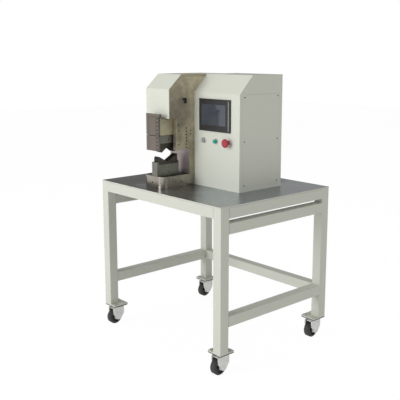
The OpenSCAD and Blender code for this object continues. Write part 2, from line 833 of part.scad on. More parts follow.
module cabinet_shell() {
    color([0.88, 0.89, 0.84]) on_bench() difference() {
        along_x(cab_left, cab_right) cab_outline(0);
        along_x(cab_left + sheet_t, cab_right - sheet_t) cab_outline(sheet_t);
        // right side: recess for the panel, then the opening behind it
        box([cab_right - panel_t, cab_front + side_panel_margin, side_panel_margin],
            [cab_right + overrun, cab_back - side_panel_margin, side_panel_top]);
        box([cab_right - sheet_t - overrun, cab_front + side_panel_margin + ledge_w, side_panel_margin + ledge_w],
            [cab_right + overrun, cab_back - side_panel_margin - ledge_w, side_panel_top - ledge_w]);
        // back
        box([cab_left + side_panel_margin, cab_back - panel_t, side_panel_margin],
            [cab_right - side_panel_margin, cab_back + overrun, head_h - side_panel_margin]);
        box([cab_left + side_panel_margin + ledge_w, cab_back - sheet_t - overrun, side_panel_margin + ledge_w],
            [cab_right - side_panel_margin - ledge_w, cab_back + overrun, head_h - side_panel_margin - ledge_w]);
        // touch screen and controls
        box([cab_left + hmi_left + hmi_body_inset, cab_front - overrun, hmi_z + hmi_body_inset],
            [cab_left + hmi_left + hmi_w - hmi_body_inset, cab_front + sheet_t + overrun, hmi_z + hmi_h - hmi_body_inset]);
        for (i = [0 : 2])
            rod_y(control_x(i), cab_front - overrun, cab_front + sheet_t + overrun, controls_z, panel_hole_d / 2);
    }
}

module side_panel() {
    color([0.80, 0.81, 0.76]) on_bench()
        box([cab_right - panel_t, cab_front + side_panel_margin + panel_gap, side_panel_margin + panel_gap],
            [cab_right, cab_back - side_panel_margin - panel_gap, side_panel_top - panel_gap]);
}

module back_panel() {
    color([0.80, 0.81, 0.76]) on_bench() difference() {
        box([cab_left + side_panel_margin + panel_gap, cab_back - panel_t, side_panel_margin + panel_gap],
            [cab_right - side_panel_margin - panel_gap, cab_back, head_h - side_panel_margin - panel_gap]);
        for (side = [-1, 1], i = [0 : vent_count - 1])
            translate([(cab_left + cab_right) / 2 + side * vent_w, 0, head_h - back_vent_drop + i * vent_pitch])
                box([-vent_w / 2 + overrun, cab_back - panel_t - overrun, 0], [vent_w / 2 - overrun, cab_back + overrun, vent_h]);
    }
}

module panel_screws() {
    color([0.45, 0.46, 0.46]) on_bench() {
        for (y = [cab_front + side_panel_margin + lip, cab_back - side_panel_margin - lip],
            z = [side_panel_margin + lip, (side_panel_margin + side_panel_top) / 2, side_panel_top - lip])
            rod_x(cab_right, cab_right + panel_screw_t, y, z, panel_screw_r);
    }
}

module power_inlet() {
    color([0.10, 0.10, 0.10]) on_bench()
        box([cab_right - inlet_side - inlet_w, cab_back, inlet_z],
            [cab_right - inlet_side, cab_back + inlet_t, inlet_z + inlet_h]);
}

module servo_drive() {
    color([0.22, 0.23, 0.24]) on_bench()
        box([cab_left + sheet_t, cab_back - drive_back - drive_d, drive_z],
            [cab_left + sheet_t + drive_w, cab_back - drive_back, drive_z + drive_h]);
}

// Controls

module touch_screen_bezel() {
    left = cab_left + hmi_left;
    gx = left + (hmi_w - glass_w) / 2 - glass_shift_x;
    gz = hmi_z + (hmi_h - glass_h) / 2 + glass_rise;
    color([0.10, 0.10, 0.11]) on_bench() difference() {
        union() {
            box([left, cab_front - bezel_t, hmi_z], [left + hmi_w, cab_front, hmi_z + hmi_h]);
            box([left + hmi_body_inset + seat_gap, cab_front - overrun, hmi_z + hmi_body_inset + seat_gap],
                [left + hmi_w - hmi_body_inset - seat_gap, cab_front + hmi_body_d, hmi_z + hmi_h - hmi_body_inset - seat_gap]);
        }
        box([gx, cab_front - bezel_t - overrun, gz], [gx + glass_w, cab_front - bezel_t + glass_t, gz + glass_h]);
    }
}

module touch_screen_glass() {
    left = cab_left + hmi_left;
    gx = left + (hmi_w - glass_w) / 2 - glass_shift_x;
    gz = hmi_z + (hmi_h - glass_h) / 2 + glass_rise;
    color([0.14, 0.16, 0.22]) on_bench()
        box([gx, cab_front - bezel_t, gz], [gx + glass_w, cab_front - bezel_t + glass_t, gz + glass_h]);
}

module switch_collars() {
    color([0.75, 0.76, 0.77]) on_bench() for (i = [0 : 2]) difference() {
        union() {
            rod_y(control_x(i), cab_front - collar_t, cab_front, controls_z, collar_r);
            rod_y(control_x(i), cab_front - collar_t / 2, cab_front + collar_pipe_len, controls_z, panel_hole_d / 2 - seat_gap / 2);
        }
        rod_y(control_x(i), cab_front - collar_t - overrun, cab_front + collar_pipe_len + overrun, controls_z, button_r + button_fit);
    }
}

module selector_knob() {
    x = control_x(0);
    color([0.70, 0.71, 0.70]) on_bench() {
        rod_y(x, cab_front - knob_out, cab_front + collar_pipe_len, controls_z, knob_r);
        box([x - knob_bar_w / 2, cab_front - knob_out - knob_bar_out, controls_z - knob_r],
            [x + knob_bar_w / 2, cab_front - knob_out + overrun, controls_z + knob_r]);
    }
}

module start_button() {
    color([0.05, 0.55, 0.35]) on_bench()
        rod_y(control_x(1), cab_front - button_out, cab_front + collar_pipe_len, controls_z, button_r);
}

module estop_stem() {
    y = cab_front - stem_out + seat_gap;
    color([0.55, 0.06, 0.08]) on_bench() {
        rod_y(control_x(2), y, cab_front + collar_pipe_len, controls_z, stem_r);
        rod_y(control_x(2), y - head_pin_len, y + overrun, controls_z, head_pin_r);
    }
}

module estop_head() {
    bore = head_pin_len + seat_gap;
    color([0.78, 0.06, 0.10]) on_bench() translate([control_x(2), cab_front - stem_out, controls_z])
        rotate([90, 0, 0]) rotate_extrude() polygon([[head_pin_r + head_pin_fit, 0], [mushroom_neck_r, 0],
            [mushroom_r, mushroom_t / 3], [mushroom_r, mushroom_t * 2 / 3],
            [mushroom_r - mushroom_t / 3, mushroom_t], [0, mushroom_t], [0, bore],
            [head_pin_r + head_pin_fit, bore]]);
}

table_top();
leg(-1, -1);  // leg_front_left
leg(1, -1);  // leg_front_right
leg(-1, 1);  // leg_back_left
leg(1, 1);  // leg_back_right
rail_x(-1, rail_z);  // front_rail
rail_x(1, rail_z);  // back_rail
side_pair(rail_z);  // side_rails
side_pair(lower_rail_z);  // lower_side_rails
side_pair(stretcher_z);  // side_stretchers
rail_x(1, stretcher_z);  // back_stretcher
foot_plates();
castor_plates();
castor_bolts();
castor_fork(-1, -1);  // castor_fork_front_left
castor_fork(1, -1);  // castor_fork_front_right
castor_fork(-1, 1);  // castor_fork_back_left
castor_fork(1, 1);  // castor_fork_back_right
castor_wheel(-1, -1);  // castor_wheel_front_left
castor_wheel(1, -1);  // castor_wheel_front_right
castor_wheel(-1, 1);  // castor_wheel_back_left
castor_wheel(1, 1);  // castor_wheel_back_right
press_base();
press_column();
cheek(frame_left);  // left_cheek
cheek(space_right);  // right_cheek
head_top_plate();
ram_guide();
guide_gibs();
face_plate(guide_z, guide_face_top_z);  // guide_face_plate
ram();
face_plate(ram_plate_z, ram_z);  // ram_front_plate
upper_die_holder();
upper_die();
lower_die_holder();
lower_die();
drive_screw();
screw_nut();
screw_pulley();
bearing_block();
drive_belt();
motor_pulley();
servo_motor();
motor_plate();
head_cover();
rear_cover();
frame_screws();
cabinet_shell();
side_panel();
back_panel();
panel_screws();
power_inlet();
servo_drive();
touch_screen_bezel();
touch_screen_glass();
switch_collars();
selector_knob();
start_button();
estop_stem();
estop_head();
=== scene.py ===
"""Finishes, small hardware and studio for the terminal crimping machine and its castored bench."""
import json
import math
from collections import namedtuple

import bmesh
import bpy
from mathutils import Matrix, Vector

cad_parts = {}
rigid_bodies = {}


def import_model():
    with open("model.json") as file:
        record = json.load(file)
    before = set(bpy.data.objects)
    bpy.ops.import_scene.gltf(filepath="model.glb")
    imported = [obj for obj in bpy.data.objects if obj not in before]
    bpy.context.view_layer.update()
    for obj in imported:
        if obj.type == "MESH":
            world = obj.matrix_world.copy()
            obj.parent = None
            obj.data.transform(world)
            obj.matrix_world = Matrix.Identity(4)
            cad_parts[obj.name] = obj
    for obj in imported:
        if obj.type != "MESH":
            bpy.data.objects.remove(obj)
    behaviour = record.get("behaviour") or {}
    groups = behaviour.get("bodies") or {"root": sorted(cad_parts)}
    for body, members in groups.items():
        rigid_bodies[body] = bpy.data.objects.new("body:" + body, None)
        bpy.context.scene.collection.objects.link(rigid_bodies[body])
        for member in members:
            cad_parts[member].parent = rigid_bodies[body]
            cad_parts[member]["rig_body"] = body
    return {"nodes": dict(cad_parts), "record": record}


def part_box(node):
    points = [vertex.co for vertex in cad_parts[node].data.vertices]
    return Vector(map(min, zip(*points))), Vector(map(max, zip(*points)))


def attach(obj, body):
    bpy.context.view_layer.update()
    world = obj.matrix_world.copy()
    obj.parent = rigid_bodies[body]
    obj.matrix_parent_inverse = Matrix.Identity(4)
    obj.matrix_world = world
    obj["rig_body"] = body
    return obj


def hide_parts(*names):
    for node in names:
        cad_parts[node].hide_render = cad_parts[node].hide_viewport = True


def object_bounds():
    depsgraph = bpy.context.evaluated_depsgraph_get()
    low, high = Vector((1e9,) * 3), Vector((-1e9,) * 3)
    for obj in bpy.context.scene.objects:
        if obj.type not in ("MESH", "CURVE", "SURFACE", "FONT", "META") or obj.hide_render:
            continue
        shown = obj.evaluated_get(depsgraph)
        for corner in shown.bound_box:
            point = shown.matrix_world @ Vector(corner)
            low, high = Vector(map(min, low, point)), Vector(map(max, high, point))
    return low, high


bl_info = {
    "name": "Terminal Crimping Machine",
    "version": (1, 0, 0),
    "blender": (4, 5, 0),
    "location": "View3D > Sidebar > Crimping Machine",
    "description": "Dresses the jointed crimping machine with its finishes, hardware and studio",
    "category": "Object",
}

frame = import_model()
NODES = frame["nodes"]
RECORD = frame["record"]
CAD_BOX = [list(corner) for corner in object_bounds()]
CORNERS = ("front_left", "front_right", "back_left", "back_right")

# Levels of the bench top and of the faces that take painted shade (the floor and back wall of the throat,
# the flat tops of the covers), from the frame
BENCH_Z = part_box("table_top")[1][2]
BASE_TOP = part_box("press_base")[1][2]
THROAT_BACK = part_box("press_column")[0][1]
COVER_TOP = CAD_BOX[1][2]

# Screws of the right cheek: place from front to back, and height above the bench top
CHEEK_SCREWS = ((-0.182, 0.208), (-0.182, 0.276), (-0.182, 0.304), (-0.104, 0.257), (-0.104, 0.271))
# How far an added screw or neck sinks into the face it stands on
SINK = 0.0002

# Oil fitting of the right cheek: its foot and top are heights above the bench top
FITTING_Y = -0.140
FITTING_FOOT = 0.408
FITTING_TOP = 0.434
FITTING_R = 0.005
FITTING_NECK = 0.009
FITTING_T = 0.004
FITTING_BODY_OUT = 0.004
FITTING_BODY_DROP = 0.002
FITTING_ARM_OUT = 0.0045
FITTING_ARM_H = 0.010
FITTING_ARM_REACH = 0.015
FITTING_ARM_ROOT = 0.004

# Light strip along the right side of the screen's bezel: a painted highlight of the bezel's edge
HIGHLIGHT_INSET = 0.012
HIGHLIGHT_W = 0.003
HIGHLIGHT_PROUD = 0.0004
HIGHLIGHT_END = 0.008

# Screw row of the two front plates, dark lines of painted shade at their steps, and a dark block of painted
# shade above the upper one
ROW_INSET = 0.008
ROW_FOOT = 0.010
ROW_SPARE = 0.012
STEP_SHADE_FROM_ROW = 0.010
STEP_SHADE_LEFT_INSET = 0.020
STEP_SHADE_HALF = 0.0007
STEP_SHADE_PROUD = 0.0003
STEP_SHADE_END = 0.001
# Dark block in the gap between the upper front plate and the head cover: painted shade
SHADE_BLOCK_GAP = 0.0008
SHADE_BLOCK_H = 0.014
SHADE_BLOCK_SIDE = 0.010

# Pressed skirt of a castor fork: its front is on the wheel's side of the swivel axis, and heights are
# from the floor
HOOD_FRONT = -0.036
HOOD_BACK = 0.030
HOOD_SILL = 0.054
HOOD_TOP = 0.0885
HOOD_HALF = 0.0245
HOOD_WALL = 0.002
HOOD_MOUTH_HALF = 0.0185
HOOD_FOOT_FRONT = -0.012
HOOD_FOOT_BACK = 0.008
HOOD_FOOT_Z = 0.022

# Camera of the photograph, in metres, millimetres of lens and degrees
CAMERA_PLACE = (2.54185, -2.31382, 1.4212)
CAMERA_DIP = 10.473
CAMERA_HEADING = 48.138
CAMERA_LENS = 62.11
CAMERA_SENSOR = 36.0
CAMERA_SHIFT = (-0.0162, -0.0455)
CAMERA_REACH = 60.0

# Soft boxes: name, place, width, and power as a share of the key light's
SOFT_BOXES = (("key_softbox", (-1.5, -6.5, 2.4), 3.5, 1.0),
              ("side_softbox", (5.5, 0.8, 3.0), 3.0, 0.12),
              ("top_softbox", (-0.4, 0.3, 4.2), 2.6, 0.06))
LIGHT_TARGET = (0.0, 0.0, 0.8)
FLOOR_REACH = 14.0
FLOOR_GLOW = 1.03
FLOOR_GLOW_SHARE = 0.93
ROOM_COLOUR = (1.0, 0.99, 0.96, 1.0)
WHITE = (1.0, 1.0, 1.0, 1.0)

# A noise mostly lies between these two values
NOISE_LOW = 0.3
NOISE_HIGH = 0.7
COAT_ROUGHNESS = 0.12

# A face is at a level when it is this near, looks along an axis when its normal's share is above
# FACING, and is a side when its normal rises less than UPRIGHT
LEVEL_REACH = 0.002
FACING = 0.99
UPRIGHT = 0.5

# Vertices nearer than this are one, and faces that meet within this angle are one flat face
MERGE_REACH = 1e-6
FLAT_DEGREES = 1.0

# Faces at a level that look up (sign 1) or down (sign -1) an axis take the finish; axes are 0 x, 1 y, 2 z
Patch = namedtuple("Patch", "finish axis sign level")
GROUPS = {}
FINISHES = {}


# Settings

def colour_setting(name, description, default):
    return bpy.props.FloatVectorProperty(name=name, description=description, subtype="COLOR", size=3,
                                         min=0.0, max=1.0, default=default)


def length_setting(name, description, default, least=0.0):
    return bpy.props.FloatProperty(name=name, description=description, subtype="DISTANCE", unit="LENGTH",
                                   min=least, default=default)


class PaintSettings(bpy.types.PropertyGroup):
    tube_colour: colour_setting("Bench paint", "Powder coat of the welded tube bench", (0.64, 0.65, 0.58))
    sheet_colour: colour_setting("Cover paint", "Powder coat of the sheet covers and the cabinet",
                                 (0.69, 0.71, 0.63))
    # Darker copy of the cover paint on the flat tops: painted shade of tops seen at a grazing angle; the
    # real tops carry the same light paint.
    shaded_top_colour: colour_setting("Shaded top paint", "Powder coat on the flat tops of the covers",
                               (0.50, 0.515, 0.47))
    foot_edge: length_setting("Foot plate edge", "Edge rounding of the bench's foot plates", 0.0015)
    sheet_edge: length_setting("Sheet edge", "Bend rounding of the folded covers", 0.0006)


class SteelSettings(bpy.types.PropertyGroup):
    press_colour: colour_setting("Press steel", "Ground and oiled steel of the press frame",
                                 (0.46, 0.43, 0.33))
    plate_colour: colour_setting("Face plate steel", "Steel of the guide and ram face plates",
                                 (0.215, 0.19, 0.165))
    bench_colour: colour_setting("Bench top steel", "Dark polished steel of the bench top",
                                 (0.375, 0.405, 0.44))
    die_colour: colour_setting("Die steel", "Hardened black steel of the two dies", (0.085, 0.078, 0.066))
    steel_edge: length_setting("Steel edge", "Chamfer on the machined steel pieces", 0.0009)
    plate_edge: length_setting("Plate edge", "Edge rounding of the bench top and the castor forks", 0.0008)
    die_edge: length_setting("Die edge", "Edge breaking on the blades of the dies", 0.0003)
    screw_size: length_setting("Screw head", "Radius and height of the small cap screw heads", 0.003, 0.001)
    screw_pitch: length_setting("Screw pitch", "Distance between the screws of a front plate", 0.018, 0.008)


class ControlSettings(bpy.types.PropertyGroup):
    stop_colour: colour_setting("Stop button", "Colour of the emergency-stop mushroom", (0.42, 0.016, 0.04))
    start_colour: colour_setting("Start button", "Colour of the start button", (0.01, 0.36, 0.26))
    screen_colour: colour_setting("Screen", "Colour of the switched-off touch screen", (0.045, 0.055, 0.075))
    bezel_edge: length_setting("Bezel edge", "Edge rounding of the touch screen's bezel", 0.0015)
    knob_edge: length_setting("Knob edge", "Edge rounding of the selector and the start button", 0.0012)
    stop_edge: length_setting("Stop edge", "Edge rounding of the emergency-stop mushroom", 0.001)


class StudioSettings(bpy.types.PropertyGroup):
    floor_colour: colour_setting("Floor", "Colour of the studio floor", (0.94, 0.94, 0.94))
    key_power: bpy.props.FloatProperty(
        name="Key light", description="Power of the large light at the camera's left",
        unit="POWER", default=245.0, min=0.0)
    fill_level: bpy.props.FloatProperty(
        name="Room light", description="Brightness of the even room light",
        default=0.44, min=0.0)


# Shader parts

def new_group(name, inputs):
    """Texture group with a colour, a roughness and a height; inputs are (kind, label, default)."""
    tree = bpy.data.node_groups.new(name, "ShaderNodeTree")
    for kind, label, default in inputs:
        socket = tree.interface.new_socket(name=label, in_out="INPUT", socket_type="NodeSocket" + kind)
        socket.default_value = default
    for kind, label in (("Color", "Colour"), ("Float", "Roughness"), ("Float", "Height")):
        tree.interface.new_socket(name=label, in_out="OUTPUT", socket_type="NodeSocket" + kind)
    where = tree.nodes.new("ShaderNodeTexCoord").outputs["Object"]
    return tree, where, tree.nodes.new("NodeGroupInput").outputs, tree.nodes.new("NodeGroupOutput").inputs


def feed(tree, socket, value):
    """Number typed into a socket, or a link into it."""
    if isinstance(value, (int, float)):
        socket.default_value = value
    else:
        tree.links.new(value, socket)


def noise(tree, vector, scale, detail=3.0, roughness=0.55):
    node = tree.nodes.new("ShaderNodeTexNoise")
    feed(tree, node.inputs["Detail"], detail)
    feed(tree, node.inputs["Roughness"], roughness)
    feed(tree, node.inputs["Scale"], scale)
    feed(tree, node.inputs["Vector"], vector)
    return node.outputs["Fac"]


def calc(tree, operation, first, second):
    node = tree.nodes.new("ShaderNodeMath")
    node.operation = operation
    for socket, value in zip(node.inputs, (first, second)):
        feed(tree, socket, value)
    return node.outputs[0]


def vector_calc(tree, operation, first, second):
    """Vector Math node. SCALE takes its factor in the Scale socket, and DOT_PRODUCT gives a number."""
    node = tree.nodes.new("ShaderNodeVectorMath")
    node.operation = operation
    feed(tree, node.inputs[0], first)
    feed(tree, node.inputs["Scale" if operation == "SCALE" else 1], second)
    return node.outputs["Value" if operation == "DOT_PRODUCT" else "Vector"]


def remap(tree, value, low, high):
    """Noise spread from its usual range to low..high."""
    node = tree.nodes.new("ShaderNodeMapRange")
    for label, bound in (("From Min", NOISE_LOW), ("From Max", NOISE_HIGH), ("To Min", low),
                         ("To Max", high), ("Value", value)):
        feed(tree, node.inputs[label], bound)
    return node.outputs["Result"]


def tinted(tree, colour, texture, middle, amount):
    """Colour made lighter and darker by a texture that lies round a middle value."""
    shade = calc(tree, "MULTIPLY", calc(tree, "SUBTRACT", texture, middle), amount)
    return vector_calc(tree, "SCALE", colour, calc(tree, "ADD", shade, 1.0))


def build_powder_coat():
    """Orange peel of a powder coat, with faint handling marks."""
    tree, where, given, result = new_group("powder_coat_texture", (
        ("Color", "Colour", (0.8, 0.8, 0.8, 1.0)), ("Float", "Peel Scale", 900.0),
        ("Float", "Mark Amount", 0.06)))
    marks = noise(tree, where, 5.0, detail=5.0, roughness=0.6)
    feed(tree, result["Colour"], tinted(tree, given["Colour"], marks, 0.5, given["Mark Amount"]))
    feed(tree, result["Roughness"], remap(tree, noise(tree, where, 22.0), 0.38, 0.50))
    feed(tree, result["Height"], noise(tree, where, given["Peel Scale"], detail=2.0))
    return tree


def build_ground_steel():
    """Grinding lines over broad oily patches of a second colour. A drift input pushes the patch colour
    towards one side as painted shade.
    """
    tree, where, given, result = new_group("ground_steel_texture", (
        ("Color", "Colour", (0.5, 0.5, 0.5, 1.0)), ("Color", "Patch Colour", (0.4, 0.4, 0.4, 1.0)),
        ("Vector", "Line Scale", (30.0, 900.0, 900.0)), ("Float", "Patch Scale", 9.0),
        ("Float", "Line Amount", 0.25), ("Float", "Low Roughness", 0.25),
        ("Float", "High Roughness", 0.45), ("Vector", "Shade Drift", (0.0, 0.0, 0.0))))
    lines = noise(tree, vector_calc(tree, "MULTIPLY", where, given["Line Scale"]), 1.0, detail=2.0,
                  roughness=0.5)
    patches = noise(tree, where, given["Patch Scale"], detail=4.0, roughness=0.6)
    blend = tree.nodes.new("ShaderNodeMix")
    blend.data_type = "RGBA"
    # Painted shade: the drift leans the patch colour towards one side.
    shade_drift = vector_calc(tree, "DOT_PRODUCT", where, given["Shade Drift"])
    feed(tree, blend.inputs["Factor"], calc(tree, "ADD", remap(tree, patches, 0.0, 1.0), shade_drift))
    feed(tree, blend.inputs["A"], given["Colour"])
    feed(tree, blend.inputs["B"], given["Patch Colour"])
    feed(tree, result["Colour"], tinted(tree, blend.outputs["Result"], lines, 0.5, given["Line Amount"]))
    both = calc(tree, "ADD", calc(tree, "MULTIPLY", lines, 0.5), calc(tree, "MULTIPLY", patches, 0.5))
    feed(tree, result["Roughness"], remap(tree, both, given["Low Roughness"], given["High Roughness"]))
    feed(tree, result["Height"], lines)
    return tree


def build_moulded():
    """Fine grain of a moulded or rubber surface, with a dusting of lighter specks."""
    tree, where, given, result = new_group("moulded_texture", (
        ("Color", "Colour", (0.5, 0.5, 0.5, 1.0)), ("Float", "Grain Scale", 1400.0),
        ("Float", "Dust Amount", 0.15), ("Float", "Low Roughness", 0.3), ("Float", "High Roughness", 0.4)))
    dust = noise(tree, where, 60.0, detail=5.0, roughness=0.65)
    feed(tree, result["Colour"], tinted(tree, given["Colour"], dust, 0.45, given["Dust Amount"]))
    feed(tree, result["Roughness"], remap(tree, dust, given["Low Roughness"], given["High Roughness"]))
    feed(tree, result["Height"], noise(tree, where, given["Grain Scale"], detail=2.0))
    return tree


def darker(colour, share):
    return tuple(channel * share for channel in colour)


def finish(name, group, values, metallic=0.0, bump=0.0, depth=0.0002, coat=0.0):
    """Material whose colour, roughness and bump come from a texture group."""
    mat = bpy.data.materials.new(name)
    mat.use_nodes = True
    tree = mat.node_tree
    shader = tree.nodes["Principled BSDF"]
    shader.inputs["Metallic"].default_value = metallic
    shader.inputs["Coat Weight"].default_value = coat
    shader.inputs["Coat Roughness"].default_value = COAT_ROUGHNESS
    texture = tree.nodes.new("ShaderNodeGroup")
    texture.node_tree = GROUPS[group]
    texture.location = (-400, 0)
    for label, value in values.items():
        texture.inputs[label].default_value = (*value, 1.0) if label.endswith("Colour") else value
    tree.links.new(texture.outputs["Colour"], shader.inputs["Base Color"])
    tree.links.new(texture.outputs["Roughness"], shader.inputs["Roughness"])
    if bump:
        relief = tree.nodes.new("ShaderNodeBump")
        relief.inputs["Strength"].default_value = bump
        relief.inputs["Distance"].default_value = depth
        tree.links.new(texture.outputs["Height"], relief.inputs["Height"])
        tree.links.new(relief.outputs["Normal"], shader.inputs["Normal"])
    FINISHES[name] = mat


# Mesh parts

def body_of(node):
    return NODES[node]["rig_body"]


def smooth_by_angle(bm, degrees=38.0):
    for face in bm.faces:
        face.smooth = True
    for edge in bm.edges:
        edge.smooth = len(edge.link_faces) == 2 and edge.calc_face_angle(0.0) < math.radians(degrees)


def place(bm, name, material, node):
    """Mesh object at the origin with one finish, riding on the body of a node."""
    bmesh.ops.recalc_face_normals(bm, faces=bm.faces[:])
    mesh = bpy.data.meshes.new(name)
    bm.to_mesh(mesh)
    bm.free()
    obj = bpy.data.objects.new(name, mesh)
    bpy.context.scene.collection.objects.link(obj)
    mesh.materials.append(FINISHES[material])
    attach(obj, body_of(node))
    return obj


def lies_on(face, patch):
    """Whether a face looks along the patch's axis and lies at its level."""
    faces_out = face.normal[patch.axis] * patch.sign > FACING
    return faces_out and abs(face.calc_center_median()[patch.axis] - patch.level) < LEVEL_REACH


def paint(material, *nodes):
    """Finish put on the CAD nodes themselves."""
    for node in nodes:
        mesh = NODES[node].data
        mesh.materials.clear()
        mesh.materials.append(FINISHES[material])


def dress(node, material, edge, segments=2, angle=28.0, patch=None):
    """Copy of a CAD node with rounded edges, shown in its place. The faces of a patch take its finish."""
    bm = bmesh.new()
    bm.from_mesh(NODES[node].data)
    bmesh.ops.remove_doubles(bm, verts=bm.verts[:], dist=MERGE_REACH)
    bmesh.ops.dissolve_limit(bm, angle_limit=math.radians(FLAT_DEGREES), verts=bm.verts[:],
                             edges=bm.edges[:])
    if patch:
        for face in bm.faces:
            face.material_index = int(lies_on(face, patch))
    sharp = [e for e in bm.edges
             if len(e.link_faces) == 2 and e.calc_face_angle(0.0) > math.radians(angle)]
    bmesh.ops.bevel(bm, geom=sharp, offset=edge, affect="EDGES", segments=segments, profile=0.5,
                    material=-1, clamp_overlap=True)
    smooth_by_angle(bm)
    obj = place(bm, node + "_dressed", material, node)
    if patch:
        obj.data.materials.append(FINISHES[patch.finish])
    obj.modifiers.new("even_shading", "WEIGHTED_NORMAL").keep_sharp = True
    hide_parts(node)
    return obj


def add_box(bm, low, high):
    """Closed block between two corners."""
    low, high = Vector(low), Vector(high)
    size = Matrix.Diagonal((*(high - low), 1.0))
    bmesh.ops.create_cube(bm, size=1.0, matrix=Matrix.Translation((low + high) / 2) @ size)


def add_prism(bm, outline, low, high, move):
    """Closed plate: an outline of (y, z) points at one x value, extruded to another, then moved."""
    face = bm.faces.new([bm.verts.new((low, y, z)) for y, z in outline])
    grown = bmesh.ops.extrude_face_region(bm, geom=[face])["geom"]
    far_side = [item for item in grown if isinstance(item, bmesh.types.BMVert)]
    bmesh.ops.translate(bm, verts=far_side, vec=(high - low, 0.0, 0.0))
    bmesh.ops.transform(bm, matrix=move, verts=face.verts[:] + far_side)


def add_stud(bm, foot, axis, radius, height, sides=20, taper=0.9):
    """Closed round head that stands on a face and looks along +X or -Y."""
    turn = Matrix.Rotation(math.radians(90.0), 4, "Y" if axis == "X" else "X")
    out = Vector((height / 2, 0.0, 0.0)) if axis == "X" else Vector((0.0, -height / 2, 0.0))
    bmesh.ops.create_cone(bm, cap_ends=True, segments=sides, radius1=radius, radius2=radius * taper,
                          depth=height, matrix=Matrix.Translation(Vector(foot) + out) @ turn)


# Operators

